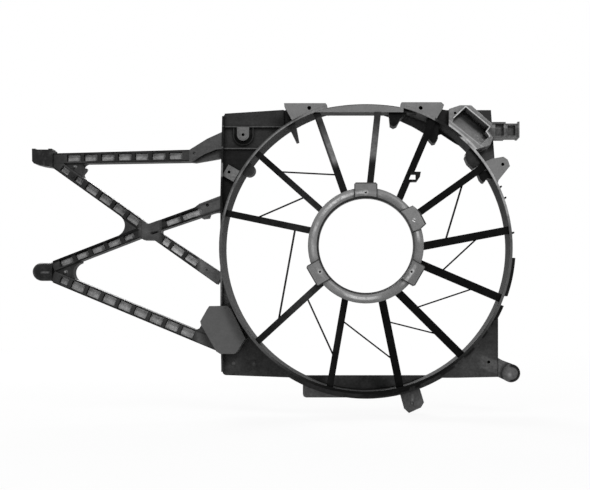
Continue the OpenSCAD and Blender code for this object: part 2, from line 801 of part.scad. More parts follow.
// Bucket for a plug, with a floor that slopes up to its lower left edge
BUCKET = [[106, 120], [107.1, 178.1], [121.3, 182.7], [135.5, 182.7], [162.5, 158.8], [157.4, 149.5],
          [163.8, 141], [160, 131.7], [141.9, 125.9]];
BUCKET_MOUTH = [[113, 165.5], [128.4, 180], [158.5, 154.8], [154, 148.8], [158.5, 142.6], [147, 131.5],
                [111, 160]];
BUCKET_MIDDLE = [134, 155];
FLOOR_FOOT = [147, 131.5]; // lower end of the line where the floor meets the face
FLOOR_TURN = 51.6; // direction in which the floor falls
BUCKET_RIM = [for (i = [0:4]) BUCKET_MOUTH[i]]; // the mouth's corners that have a raised rim
RIM_W = 1.6;
module bucket_rim() {
    slab(lip_front + 1, 1) difference() {
        for (i = [0:3]) {
            polygon(bar_points(BUCKET_RIM[i], BUCKET_RIM[i + 1], 2 * RIM_W, 2 * RIM_W));
            translate(BUCKET_RIM[i + 1]) circle(r = RIM_W, $fn = 24);
        }
        polygon(BUCKET_MOUTH);
    }
}
module connector_bucket() {
    color(FACE_LIGHT) difference() {
        union() {
            slab(lip_front, lip_front - plate_front) polygon(BUCKET);
            bucket_rim();
        }
        intersection() {
            slab(FAR, 2 * FAR) polygon(BUCKET_MOUTH);
            translate([FLOOR_FOOT[0], 0, FLOOR_FOOT[1]]) rotate([0, -FLOOR_TURN, 0]) translate([0, 0, -20])
                linear_extrude(90) polygon([[0, -lip_front], [0, -FAR], [40, -FAR], [40, 40 - lip_front]]);
        }
        slab(24, 24) polygon(shrunk(BUCKET_MOUTH, BUCKET_MIDDLE, 0.9));
        blind([114.8, 172.6], 3.4, lip_front, 12);
        ring_space();
    }
}
CLIP_FRONT = 40;
CLIP_POCKET = 6; // depth of the pockets in the clip box
module side_clip_box() {
    color(TRUSS_MID) difference() {
        union() {
            slab(CLIP_FRONT, CLIP_FRONT - plate_front) window(158, 182, 144, 164);
            slab(CLIP_FRONT - 2, CLIP_FRONT - plate_front - 6) window(182, 198, 144.6, 162.4);
            slab(CLIP_FRONT, CLIP_FRONT - plate_front - 2) window(197.5, 200, 144, 164.4);
        }
        slab(FAR, 2 * FAR) polygon(BUCKET);
        // shallow pockets in the front, and hollows behind them
        slab(FAR, FAR - CLIP_FRONT + CLIP_POCKET) window(168.5, 179.5, 146, 161.5);
        slab(FAR, FAR - CLIP_FRONT + CLIP_POCKET + 2) window(184.5, 195, 146.6, 160);
        slab(CLIP_FRONT - CLIP_POCKET - wall, FAR) window(163.5, 179.5, 146, 161.5);
        slab(CLIP_FRONT - CLIP_POCKET - wall - 2, FAR) window(184.5, 195, 146.6, 160);
    }
}
EAR_HOLE = [176.1, 106.6];
module right_ear() {
    color(FACE_LIGHT) difference() {
        union() {
            slab(lip_front, 3) polygon([
                [148, 108], [162.5, 114], [177, 116.5], [182.7, 112.6], [185.4, 104.4], [170.8, 86.2],
                [169.4, 81], [160, 80]
            ]);
            slab(lip_front - 3, lip_front - 3 - plate_front) polygon([
                [146, 107.2], [162.5, 114], [170.5, 115.3], [170.5, 112.9], [163, 111.4], [146, 104.4]
            ]);
            // boss behind the hole
            slab(lip_front - 3, 8) translate(EAR_HOLE) circle(r = 4.5, $fn = 48);
        }
        ring_space();
        blind(EAR_HOLE, small_hole_d, lip_front, 9);
    }
}
BOSS = [192.1, -164.4]; // middle of the round boss on the lower right arm
BOSS_R = 12.1;
module lower_right_arm() {
    color(PANEL_MID) difference() {
        union() {
            slab(16, 12) polygon([
                [box_right, -144.5], [181, -147.4], BOSS + polar(BOSS_R, 62), BOSS,
                BOSS + polar(BOSS_R, -100), [box_right, BOTTOM_RISE[1] - box_bottom]
            ]);
            translate([BOSS[0], 0, BOSS[1]]) turned() polygon(concat(
                [[0, 4], [BOSS_R, 4], [BOSS_R, 20]], arc([BOSS_R - 5, 20], 5, 0, 90, 6), [[0, 25]]));
        }
        translate([BOSS[0], 0, BOSS[1]]) turned() square([6, 18]);
    }
}
module bottom_tab() {
    color(PANEL_MID) difference() {
        slab(plate_front, 3.5) polygon([
            [43, -186], [45.3, -192], [50.7, -211.7], [57.3, -217.7], [73.3, -210.4], [77.3, -203.7],
            [72, -186]
        ]);
        slab(FAR, 2 * FAR) disc(ledge_r);
        blind([61.3, -205], 5, plate_front, 1);
    }
}
module bottom_flap() {
    color(PANEL_MID) slab(plate_front, wall) difference() {
        polygon([[-83.8, -170], [-83.8, -192.6], [-82.6, -195.9], [-79.6, -197.1], [-26, -197.1],
                 [-40, -170]]);
        disc(ledge_r);
    }
}
// Rails and nubs on the outside of the ring, for the harness
module harness_clips() {
    color(SPOKE_DARK) difference() {
        slab(lip_back - 1, 16) {
            for (a = [[-19, -4], [-29, -23]])
                polygon(concat([[0, 0]], arc([0, 0], 193.6, a[0], a[1], 8)));
            for (a = [5.8, 19.7, 24.3])
                rotate(a) translate([180, -1]) square([12.8, 2]);
        }
        slab(FAR, 2 * FAR) disc(ring_r + ring_wall);
    }
}
// Loop for a cable on the tenth spoke, whose cap is cut away beside the loop's hole
LOOP_SPOKE = 9;
module loop_hole() {
    window(50, 63, 84, 91);
}
module cable_loop() {
    color(SPOKE_DARK) difference() {
        slab(76, 9) difference() {
            polygon([[49, 94], [69.5, 94], [68.5, 88], [64, 81.5], [50, 81.5]]);
            loop_hole();
        }
        spoke_bar(LOOP_SPOKE);
        along_spoke(LOOP_SPOKE) translate([-OVERRUN, -FAR, 0]) cube([FAR, FAR, 30]);
    }
}

panel_top_left();
panel_bottom_left();
panel_top_right();
panel_bottom_right();
top_closing_panel();
bottom_closing_panel();
fan_ring();
top_crescent();
guard_lugs();
motor_ring();
motor_lugs();
connector_lug();
spoke(0);  // spoke_01
spoke(1);  // spoke_02
spoke(2);  // spoke_03
spoke(3);  // spoke_04
spoke(4);  // spoke_05
spoke(5);  // spoke_06
spoke(6);  // spoke_07
spoke(7);  // spoke_08
spoke(8);  // spoke_09
spoke(9);  // spoke_10
spoke(10);  // spoke_11
spoke(11);  // spoke_12
brace(0);  // brace_1
brace(1);  // brace_2
brace(2);  // brace_3
brace(3);  // brace_4
brace(4);  // brace_5
brace(5);  // brace_6
brace(6);  // brace_7
brace(7);  // brace_8
brace(8);  // brace_9
top_beam();
top_beam_root();
upper_diagonal_outer();
upper_diagonal_inner();
lower_diagonal_outer();
lower_diagonal_inner();
lower_beam();
crossing_hub();
upper_gusset();
lower_gusset();
end_block();
locating_peg();
cover_pad();
top_tab_left();
top_tab_right();
link_block();
connector_bucket();
side_clip_box();
right_ear();
lower_right_arm();
bottom_tab();
bottom_flap();
harness_clips();
cable_loop();
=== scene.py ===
"""Looks for the radiator deflector: procedural plastics, studio light and the camera."""
import math

import bpy
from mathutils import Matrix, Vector


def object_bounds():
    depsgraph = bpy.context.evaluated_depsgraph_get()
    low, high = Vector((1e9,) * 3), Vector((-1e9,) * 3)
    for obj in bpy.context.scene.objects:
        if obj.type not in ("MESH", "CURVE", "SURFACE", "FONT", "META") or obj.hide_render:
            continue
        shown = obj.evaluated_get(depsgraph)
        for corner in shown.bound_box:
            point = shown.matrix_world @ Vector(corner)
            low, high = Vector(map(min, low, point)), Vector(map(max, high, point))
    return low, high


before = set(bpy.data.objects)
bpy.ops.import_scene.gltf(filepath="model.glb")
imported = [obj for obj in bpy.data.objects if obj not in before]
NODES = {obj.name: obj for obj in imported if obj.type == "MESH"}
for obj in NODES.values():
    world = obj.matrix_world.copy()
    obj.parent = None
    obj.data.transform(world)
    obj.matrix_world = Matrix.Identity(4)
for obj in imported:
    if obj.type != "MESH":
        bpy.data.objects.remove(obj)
CAD_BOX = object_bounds()

MM = 0.001

# Distances ahead of the radiator face, in millimetres.
LIP_FRONT = 54  # the face of the ring's lip, the tabs and the ear
TRUSS_FRONT = (18.5, 20.0)  # a truss member's front face lies past these, its pocket floors before them

# Places on the part as it is seen from the front: x and z from the fan axis, in millimetres.
TRUSS_END_X = -412  # where the truss members meet the end block and the peg
TOP_SEAM_X = 64  # where the corner panels meet the top closing panel
BOTTOM_SEAM_X = 100  # where they meet the bottom closing panel
SEAM_CLEAR = (1.2, 2.4)  # the worn edges fade in between these distances from a seam
HUB = (-288, 25.3)  # where the truss's diagonals cross
HUB_BOSS = (-292, 24)
GUSSET_SPOTS = (((-383.6, 108.9), 1.6), ((-396.1, -29.9), 1.8))  # place and radius
PEG_Z = -30.2
CLIP_PAD_HOLE = (-162.5, 151.6)
PANEL_SPOTS = (((-175.4, -151.4), 2.4), ((-148.7, -152.5), 2.2))  # place and radius
ARM_BOSS = (192.1, -164.4)
ARM_ROOT = (154, -149.5)
TAB_HOLE = (61.3, -205)
BUCKET_TOP = (128.4, 180)
BUCKET_LEFT = (113, 165.5)
BUCKET_RIGHT = (158.5, 154.8)
CONNECTOR_SPOT = (60.3, 32.1)
SCREW_ANGLES = (90, 210, 330)
SCREW_RADIUS = 66
LUG_HALF = 14.5  # half the width of a screw lug
LUG_REACH = 78.4  # outer radius of a screw lug

# The plastic, in colour values and in shares of them.
OUTWARD_LEAST_TONE = 0.042  # the least colour of faces that look away from the fan axis and of those that look back at the radiator
BLACKEST = 0.003
DUST_TONE = 0.012  # what a speck of dust adds
SMUDGE_SHARE = 1.6  # of the smudges, against the slow clouds
FINE_SHARE = 1.2  # of the finest blotches
MOTTLE_GAIN = 3
EDGE_WIDTH = 0.9  # radius of the worn and painted edges, in millimetres
CREASE_REACH = 5  # how far the painted shade in the corners reaches, in millimetres
BUMP_DEPTH = 0.25  # in millimetres
GRAIN = 0.12  # strength of the moulded grain

# ---------------------------------------------------------------- node graphs


class Graph:
    """Small helper to build one material's node tree."""

    def __init__(self, name):
        self.material = bpy.data.materials.new(name)
        self.material.use_nodes = True
        self.tree = self.material.node_tree
        self.tree.nodes.clear()
        self.output = self.add("ShaderNodeOutputMaterial")
        self.coords = self.add("ShaderNodeTexCoord").outputs["Object"]
        self.x, self.y, self.z = self.split(self.coords)

    def add(self, kind, **values):
        node = self.tree.nodes.new(kind)
        for key, value in values.items():
            setattr(node, key, value)
        return node

    def link(self, source, target):
        if isinstance(source, (int, float, tuple)):
            target.default_value = source
        else:
            self.tree.links.new(source, target)

    def split(self, vector):
        """The x, y and z of a vector."""
        parts = self.add("ShaderNodeSeparateXYZ")
        self.link(vector, parts.inputs[0])
        return parts.outputs[:3]

    def math(self, operation, *args, clamp=False):
        node = self.add("ShaderNodeMath", operation=operation, use_clamp=clamp)
        for socket, value in zip(node.inputs, args):
            self.link(value, socket)
        return node.outputs[0]

    def times(self, product, *factors):
        for factor in factors:
            product = self.math("MULTIPLY", product, factor)
        return product

    def largest(self, value, *others):
        for other in others:
            value = self.math("MAXIMUM", value, other)
        return value

    def inverse(self, mask):
        return self.math("SUBTRACT", 1.0, mask)

    def tint(self, tone, mask, amount):
        """tone, changed by amount where mask is 1."""
        return self.math("MULTIPLY_ADD", mask, amount, tone)

    def dim(self, tone, mask, share):
        """tone, less the given share of it where mask is 1."""
        return self.times(tone, self.tint(1.0, mask, -share))

    def mix(self, factor, a, b):
        """a where factor is 0, b where it is 1."""
        return self.math("MULTIPLY_ADD", factor, self.math("SUBTRACT", b, a), a)

    def step(self, value, low, high):
        """0 at low, 1 at high, smooth between them; low may be the larger one."""
        node = self.add("ShaderNodeMapRange", interpolation_type="SMOOTHSTEP")
        self.link(value, node.inputs["Value"])
        self.link(low, node.inputs["From Min"])
        self.link(high, node.inputs["From Max"])
        return node.outputs["Result"]

    def step_mm(self, value, low, high):
        """The same for a length, with its limits in millimetres."""
        return self.step(value, low * MM, high * MM)

    def band(self, value, low, high, soft):
        """1 between low and high, and 0 outside them, in millimetres."""
        up = self.step_mm(value, low - soft, low + soft)
        down = self.step_mm(value, high - soft, high + soft)
        return self.math("SUBTRACT", up, down)

    def noise(self, scale, detail=4.0, rough=0.55, stretch=(1, 1, 1), turn=(0, 0, 0), shift=(0, 0, 0)):
        """Noise from 0 to 1 in the part's own space; scale is in cells per metre."""
        place = self.add("ShaderNodeMapping")
        self.link(self.coords, place.inputs["Vector"])
        self.link(tuple(stretch), place.inputs["Scale"])
        self.link(tuple(turn), place.inputs["Rotation"])
        self.link(tuple(shift), place.inputs["Location"])
        node = self.add("ShaderNodeTexNoise")
        self.link(place.outputs[0], node.inputs["Vector"])
        self.link(float(scale), node.inputs["Scale"])
        self.link(float(detail), node.inputs["Detail"])
        self.link(float(rough), node.inputs["Roughness"])
        return node.outputs[0]

    def ahead(self):
        """Distance ahead of the radiator face."""
        return self.math("MULTIPLY", self.y, -1.0)

    def radius(self):
        """Distance from the fan axis."""
        return self.math("SQRT", self.math("MULTIPLY_ADD", self.x, self.x, self.times(self.z, self.z)))

    def away_from(self, place):
        """Distance from a point, as the part is seen from the front."""
        across = self.math("SUBTRACT", self.x, place[0] * MM)
        up = self.math("SUBTRACT", self.z, place[1] * MM)
        return self.math("SQRT", self.math("MULTIPLY_ADD", across, across, self.times(up, up)))

    def true_normal(self):
        return self.split(self.add("ShaderNodeNewGeometry").outputs["True Normal"])

    def outward(self):
        """1 on faces that look away from the fan axis, and on those that look back at the radiator."""
        across, back, up = self.true_normal()
        along = self.math("MULTIPLY_ADD", across, self.x, self.times(up, self.z))
        out = self.step(self.math("DIVIDE", along, self.radius()), 0.35, 0.7)
        return self.largest(out, self.step(back, 0.4, 0.8))

    def forward(self, low=0.6, high=0.9):
        """1 on faces that look forward, away from the radiator."""
        back = self.true_normal()[1]
        return self.step(self.math("MULTIPLY", back, -1.0, clamp=True), low, high)


def seam_distance(g):
    """Distance to the planes where two panel pieces of the one moulding meet."""
    side = g.math("ABSOLUTE", g.x)
    top = g.math("ABSOLUTE", g.math("SUBTRACT", side, TOP_SEAM_X * MM))
    bottom = g.math("ABSOLUTE", g.math("SUBTRACT", side, BOTTOM_SEAM_X * MM))
    across = g.mix(g.math("GREATER_THAN", g.z, 0.0), bottom, top)
    return g.math("MINIMUM", across, g.math("ABSOLUTE", g.z))


def plastic(name, base, pale=None, where=None, side=None, edge=0.05, rough=0.5, specular=0.2, mottle=0.22,
            streak=0.0, streak_turn=0.0, crease=0.75, seams=False, truss_seam=False):
    """Moulded black plastic: grain, flow marks, dust and worn edges, with painted light and shade on zones,
    sides, edges and corners.

    where gives the mask of the pale zones, side is the colour of faces that don't look forward, as painted
    shade, edge is what wear and painted highlights add to the edges, and below 0 it is painted shade along them,
    and crease is how dark the painted shade in the corners gets. seams and truss_seam keep the wear off the
    planes where two solids of the one moulding meet.
    """
    g = Graph(name)
    shade = g.mix(where(g), base, pale) if where else base
    if side is not None:
        shade = g.mix(g.forward(0.5, 0.85), side, shade)
    shade = g.largest(shade, g.times(g.outward(), OUTWARD_LEAST_TONE))
    # slow cloudiness and finer smudges
    cloud = g.noise(14, 3, 0.6)
    smudge = g.noise(75, 5, 0.65, shift=(3, 1, 2))
    change = g.tint(cloud, smudge, SMUDGE_SHARE)
    change = g.tint(change, g.noise(330, 3, 0.6, shift=(2, 8, 5)), FINE_SHARE)
    middle = MOTTLE_GAIN * (1 + SMUDGE_SHARE + FINE_SHARE) / 2
    shade = g.times(shade, g.tint(1.0 - middle * mottle, change, MOTTLE_GAIN * mottle))
    if streak:
        lines = g.noise(26, 6, 0.7, stretch=(1, 1, 9), turn=(0, streak_turn, 0))
        shade = g.times(shade, g.tint(1.0, g.math("SUBTRACT", lines, 0.5), 4 * streak))
    # specks of dust
    dust = g.step(g.noise(620, 2, 0.5, shift=(5, 7, 1)), 0.66, 0.76)
    shade = g.tint(shade, dust, DUST_TONE)
    # worn edges with painted highlights along them, and painted shade along them where edge is below 0
    bevel = g.add("ShaderNodeBevel", samples=4)
    g.link(EDGE_WIDTH * MM, bevel.inputs["Radius"])
    dot = g.add("ShaderNodeVectorMath", operation="DOT_PRODUCT")
    g.link(bevel.outputs[0], dot.inputs[0])
    g.link(g.add("ShaderNodeNewGeometry").outputs["Normal"], dot.inputs[1])
    wear_and_painted_edges = g.times(g.step(g.inverse(dot.outputs["Value"]), 0.02, 0.25),
                   g.step(g.noise(180, 3, 0.6, shift=(9, 2, 4)), 0.3, 0.62))
    if seams:
        wear_and_painted_edges = g.times(wear_and_painted_edges, g.step_mm(seam_distance(g), *SEAM_CLEAR))
    if truss_seam:
        away = g.math("ABSOLUTE", g.math("SUBTRACT", g.x, TRUSS_END_X * MM))
        wear_and_painted_edges = g.times(wear_and_painted_edges, g.step_mm(away, *SEAM_CLEAR))
    shade = g.tint(shade, wear_and_painted_edges, edge)
    # painted shade in the corners, from ambient occlusion
    if crease:
        corner = g.add("ShaderNodeAmbientOcclusion", samples=4)
        g.link(CREASE_REACH * MM, corner.inputs["Distance"])
        open_sky = g.math("POWER", corner.outputs["AO"], 1.4)
        shade = g.times(shade, g.mix(open_sky, 1.0 - crease, 1.0))
    shade = g.largest(shade, BLACKEST)
    # surface
    bump = g.add("ShaderNodeBump")
    g.link(GRAIN, bump.inputs["Strength"])
    g.link(BUMP_DEPTH * MM, bump.inputs["Distance"])
    skin = g.tint(g.times(g.noise(240, 4, 0.6), 0.9), g.noise(1500, 3, 0.6), 0.7)
    g.link(skin, bump.inputs["Height"])
    if not seams:
        g.link(bevel.outputs[0], bump.inputs["Normal"])
    shader = g.add("ShaderNodeBsdfPrincipled")
    g.link(shade, shader.inputs["Base Color"])
    g.link(g.tint(rough - 0.12, smudge, 0.24), shader.inputs["Roughness"])
    g.link(specular, shader.inputs["Specular IOR Level"])
    g.link(bump.outputs[0], shader.inputs["Normal"])
    g.link(shader.outputs[0], g.output.inputs["Surface"])
    return g.material


# ---------------------------------------------------------------- where the plastic is paler
#
# Most functions below give the mask of one look, 0 for its base colour and 1 for its pale one. Limits along
# x, z and the radius are in millimetres. The other numbers are shares of the way from base to pale.
# Most of these pale and dark zones are painted light and shade on the one black plastic.


def front_face(g):
    """The faces that stand as far forward as the ring's lip, where the pale colour is painted light."""
    return g.times(g.step_mm(g.ahead(), LIP_FRONT - 1.2, LIP_FRONT - 0.6), g.forward())


def pocket_floor(g):
    """Painted light on the floors of the truss pockets, blotched, and duller in the outermost ones."""
    deep = g.inverse(g.step_mm(g.ahead(), *TRUSS_FRONT))
    blotch = g.step(g.noise(110, 5, 0.7, shift=(1, 1, 8)), 0.32, 0.6)
    reach = g.mix(g.step_mm(g.x, -405, -250), 0.95, 1.2)
    return g.times(deep, g.forward(), g.mix(blotch, 0.65, 1.0), reach)


def spot(g, place, radius, soft=0.5):
    """1 inside a round spot, as the part is seen from the front."""
    return g.step_mm(g.away_from(place), radius + soft, radius - soft)


def off_line(g, start, end):
    """Distance above the line through two points, as the part is seen from the front."""
    long = math.hypot(end[0] - start[0], end[1] - start[1])
    c, s = (end[0] - start[0]) / long, (end[1] - start[1]) / long
    shift = (start[0] * s - start[1] * c) * MM
    return g.math("ADD", g.math("MULTIPLY_ADD", g.z, c, g.times(g.x, -s)), shift)


def member(start, end, widths, ribs, glow=1.0, dark=0.055, upper=0.0, lower=0.0, root=0.0, outer=0.0,
           gusset_side=0, gusset_end=-400):
    """A truss member, in painted light and shade: pale pocket floors, dark cross ribs, a dark outline and dark
    flanges.

    start and end are the member's ends, widths its width at each, and ribs the stretch of x that has pockets.
    glow is the floors' brightness and dark the depth of the ribs' tone. upper and lower are the widths of the
    dark flanges. root and outer are the change of tone past the pockets' inner and outer ends. The outline is
    left out on the side that a gusset joins, from gusset_end to the outer end.
    """
    def mask(g):
        off = off_line(g, start, end)
        half = g.mix(g.step_mm(g.x, start[0], end[0]), widths[0] / 2 * MM, widths[1] / 2 * MM)
        rest = g.math("SUBTRACT", half, g.math("ABSOLUTE", off))
        within = g.step_mm(rest, -1.2, -0.4)
        line = g.times(g.step_mm(rest, 2.0, 1.0), within)
        if gusset_side:
            joined = g.times(g.step_mm(off, 0.0, gusset_side),
                             g.step_mm(g.x, gusset_end + 3, gusset_end - 3))
            line = g.times(line, g.inverse(joined))
        tone = g.times(pocket_floor(g), glow)
        if upper:
            top = g.math("SUBTRACT", half, off)
            flange = g.times(g.step_mm(top, upper, upper - 0.8), g.step_mm(top, -1.2, -0.4),
                             g.step_mm(g.x, ribs[1] + 7, ribs[1] + 2))
            line = g.largest(line, flange)
            tone = g.times(tone, g.inverse(flange))
        core = g.times(g.step_mm(rest, 1.6, 2.4), g.band(g.x, ribs[0], ribs[1], 0.5),
                       g.step_mm(g.ahead(), *TRUSS_FRONT))
        tone = g.tint(tone, core, -dark)
        if lower:
            flange = g.times(g.step_mm(g.math("ADD", half, off), lower, lower - 0.8), within)
            tone = g.tint(tone, flange, -0.08)
        tone = g.tint(tone, g.step_mm(g.x, ribs[1] - 1, ribs[1] + 6), root)
        tone = g.tint(tone, g.step_mm(g.x, ribs[0] + 1, ribs[0] - 8), outer)
        return g.tint(tone, line, -0.085)
    return mask


def gusset(g):
    """The two gussets: one pale spot on each, and duller toward the end block and the peg."""
    spots = g.largest(*[spot(g, place, radius, 1.0) for place, radius in GUSSET_SPOTS])
    low = g.times(g.step_mm(g.x, -392, -404), -0.03)
    return g.tint(low, g.times(spots, g.forward()), 0.5)


def clip_tone(g):
    """The side clip box: a pale strip of painted light under the upper wall of each pocket."""
    return g.times(g.band(g.z, 156, 160, 1.0), g.step_mm(g.y, -47.5, -46))


def hub_tone(g):
    """The crossing hub: painted shade in a dark slot and where the inner members leave it, and a paler round
    boss.
    """
    off = g.math("ABSOLUTE", off_line(g, (-284, 20.2), (-273, 22.6)))
    slot = g.times(g.step_mm(off, 2.0, 1.2), g.band(g.x, -283.5, -273, 1.5))
    right = g.times(g.step_mm(g.x, -271, -266), g.step_mm(g.z, 30, 26))
    boss = g.times(spot(g, HUB_BOSS, 7, 3), 0.04)
    return g.tint(boss, g.largest(slot, g.times(right, 0.5)), -0.12)


def peg_streak(g):
    """A painted highlight along the peg, painted shade on the peg's rim, and a few scuffs on the end block."""
    streak = g.times(g.band(g.z, -32.6, -30, 0.9), g.band(g.x, -427, -416, 2))
    scuff = g.step(g.noise(120, 4, 0.7, shift=(6, 1, 1)), 0.5, 0.7)
    tone = g.largest(g.times(streak, 0.45), g.times(scuff, 0.1))
    rim = g.step_mm(g.math("ABSOLUTE", g.math("SUBTRACT", g.z, PEG_Z * MM)), 8.5, 11)
    rim = g.times(g.largest(rim, g.step_mm(g.x, -434, -438)), g.step_mm(g.z, 20, 0))
    return g.tint(tone, rim, -0.08)


def raised_pads(g):
    """The upper left corner, in painted light and shade: pale pads and ledges ahead of the panel, which is
    dimmer low down.
    """
    ahead = g.ahead()
    raised = g.step_mm(ahead, 18.3, 18.8)
    low = g.step_mm(ahead, 18.5, 18.0)
    # the pads end at the panel's rim, which leans a little; the tilted pad goes on across it
    inner = g.step_mm(g.math("MULTIPLY_ADD", g.z, -0.0233, g.x), -191.1, -190.5)
    inner = g.largest(inner, g.band(g.z, 95, 113, 1.5))
    pads = g.times(raised, inner, g.mix(g.step_mm(g.z, 125, 135), 0.92, 0.66))
    # painted highlights along the ledges of the top strip and the rib
    strip = g.times(g.band(g.z, 160.9, 162.5, 0.3), g.step_mm(ahead, 16.6, 17.2))
    rib = g.times(g.band(g.z, 132.4, 134.6, 0.3), g.step_mm(ahead, 16.2, 16.8))
    tone = g.times(g.forward(), g.largest(pads, g.times(g.largest(strip, rib), 0.42)))
    tone = g.tint(tone, g.times(g.step_mm(g.z, 137, 129), low), -0.1)
    # painted shade on the raised strip at the panel's left edge
    tone = g.tint(tone, g.times(raised, g.inverse(inner)), -0.12)
    # painted shade in the groove round the clip pad, below its middle
    groove_shade = g.math("SUBTRACT", spot(g, (-162.8, 150.6), 12.4, 0.8), spot(g, CLIP_PAD_HOLE, 8.4, 0.4))
    return g.tint(tone, g.times(groove_shade, low, g.step_mm(g.z, 158, 150)), -0.16)


def below_bucket(g):
    """Painted light on the panel behind the bucket: pale below it, and behind the ring beside the right tab."""
    return g.largest(g.step_mm(g.z, 140, 128), g.times(g.band(g.x, 44, 90, 4), 0.8))


def low_panel(g):
    """The lower corners: painted light at the left and on the arm's ramp, two pale spots, and painted shade by
    the ring and at right.
    """
    strip = g.times(g.step_mm(g.x, -170, -184), g.step_mm(g.z, -95, -60))
    spots = g.largest(*[spot(g, place, radius, 1.6) for place, radius in PANEL_SPOTS])
    ramp = g.times(g.band(off_line(g, ARM_ROOT, ARM_BOSS), -8, 8, 2), g.step_mm(g.x, 148, 158))
    right = g.times(g.step_mm(g.x, 60, 90), g.step_mm(g.z, -120, -160))
    tone = g.math("ADD", g.largest(strip, g.times(spots, 0.3)), g.tint(g.times(right, 0.07), ramp, 0.26))
    by_ring = g.times(g.step_mm(g.radius(), 197.5, 195.5), g.step_mm(g.radius(), 184, 186),
                      g.step_mm(g.x, -60, 60), g.step(g.noise(60, 2, 0.5, shift=(3, 5, 1)), 0.44, 0.5))
    edge = g.times(g.step_mm(g.x, 171, 174.5), g.step_mm(g.z, -140, -130))
    upper = g.times(g.step_mm(g.x, 120, 145), g.step_mm(g.z, -145, -100))
    dark = g.largest(g.times(by_ring, 1.5), g.times(edge, 0.7), g.times(upper, 0.75))
    return g.tint(tone, dark, -0.16)


def tab_spot(g):
    """Painted highlights on the bottom tab, a spot and a streak, and on the arm's boss, and painted shade on the
    boss's rim.
    """
    streak = g.times(g.band(g.x, 60.6, 63.2, 1.2), g.band(g.z, -203, -193, 2))
    pale = g.largest(g.times(streak, 0.3), g.times(spot(g, TAB_HOLE, 1.6, 1.2), 0.4))
    tone = g.tint(pale, spot(g, (189.5, -166.5), 2.5, 2.0), 0.35)
    rim = g.times(g.step_mm(g.away_from(ARM_BOSS), 7.4, 9.2), g.step_mm(g.x, 187, 194))
    return g.tint(tone, rim, -0.42)


def ring_zones(g):
    """The ring in painted light: the face of its lip, paler on some sides, with a painted highlight line near
    its outer edge, and its inner wall.
    """
    radius = g.radius()
    high = g.mix(g.step_mm(g.x, -40, -80), g.step_mm(g.z, -165, -95), g.step_mm(g.z, -190, -130))
    side = g.mix(g.step_mm(g.x, -60, -150), 0.2, 0.4)
    side = g.tint(side, g.step_mm(g.x, 150, 182), 0.22)
    upper_right = g.times(g.step_mm(g.x, 90, 130), g.step_mm(g.z, 50, 80))
    side = g.times(g.dim(side, upper_right, 0.6), high)
    crown = g.times(g.step_mm(g.z, 163, 172), g.step_mm(g.x, 46, 42), 0.95)
    narrow = g.band(radius, 185.7, 187.6, 0.4)
    line = g.mix(g.step_mm(g.x, -20, 40), narrow, g.step_mm(radius, 185.6, 186.4))
    line = g.times(line, g.step_mm(g.z, 10, 60), g.mix(g.step_mm(g.x, -40, 60), 1.0, 1.8),
                   g.step(g.noise(60, 3, 0.6, shift=(7, 7, 1)), 0.2, 0.5))
    face = g.largest(side, crown, line)
    # the lip goes on under the right tab, with painted light beside the tab and painted shade below the block
    past = g.times(g.step_mm(g.z, 140, 143), g.step_mm(g.x, 43, 46))
    face = g.mix(past, face, g.mix(g.step_mm(g.x, 88, 90), 0.9, 0.05))
    lip = g.times(g.step_mm(g.ahead(), LIP_FRONT - 1.0, LIP_FRONT - 0.4), g.forward(0.5))
    # painted light on the wall inside the ring, on the left and at the upper right
    left = g.times(g.step_mm(g.x, 20, -150), g.mix(g.step_mm(g.z, 60, -60), 0.12, 0.3),
                   g.step_mm(g.z, -185, -120))
    right = g.times(g.step_mm(g.x, 30, 60), g.step_mm(g.z, 60, 130),
                    g.mix(g.step_mm(g.x, 80, 96), 0.32, 0.02))
    return g.largest(g.times(face, lip), g.math("ADD", right, left))


def bucket_tone(g):
    """The bucket: bright rims as painted highlights, and painted shade on its floor under its upper walls."""
    ahead = g.ahead()
    rim = g.times(g.step_mm(ahead, 54.2, 54.6), 0.75)
    by_ring = g.step_mm(g.radius(), 192.0, 190.6)
    off = off_line(g, (111, 160), (147, 131.5))
    turn = g.times(g.step_mm(off, 1.6, 0.6), g.step_mm(off, -1.0, 0.0), 0.5)
    face = g.largest(rim, g.times(g.largest(by_ring, turn), 0.6))
    face = g.tint(0.5, face, g.forward(0.3, 0.7))
    inside = g.inverse(g.step_mm(ahead, 52.4, 53.4))
    shade = g.mix(g.step_mm(off_line(g, BUCKET_TOP, BUCKET_RIGHT), -1, -14), 0.31, 0.42)
    left_wall = g.step_mm(off_line(g, BUCKET_LEFT, BUCKET_TOP), 0, -4)
    shade = g.times(shade, g.mix(left_wall, 0.45, 1.0))
    spots = g.times(g.step(g.noise(190, 3, 0.6, shift=(2, 2, 6)), 0.48, 0.6),
                    g.step_mm(g.x, 138, 148), g.step_mm(g.z, 152, 144))
    return g.mix(inside, face, g.tint(shade, spots, 0.5))


def along_lug(g, angle):
    """Distances along and across the direction of a lug."""
    c, s = math.cos(math.radians(angle)), math.sin(math.radians(angle))
    along = g.math("MULTIPLY_ADD", g.x, c, g.times(g.z, s))
    across = g.math("MULTIPLY_ADD", g.z, c, g.times(g.x, -s))
    return along, g.math("ABSOLUTE", across)


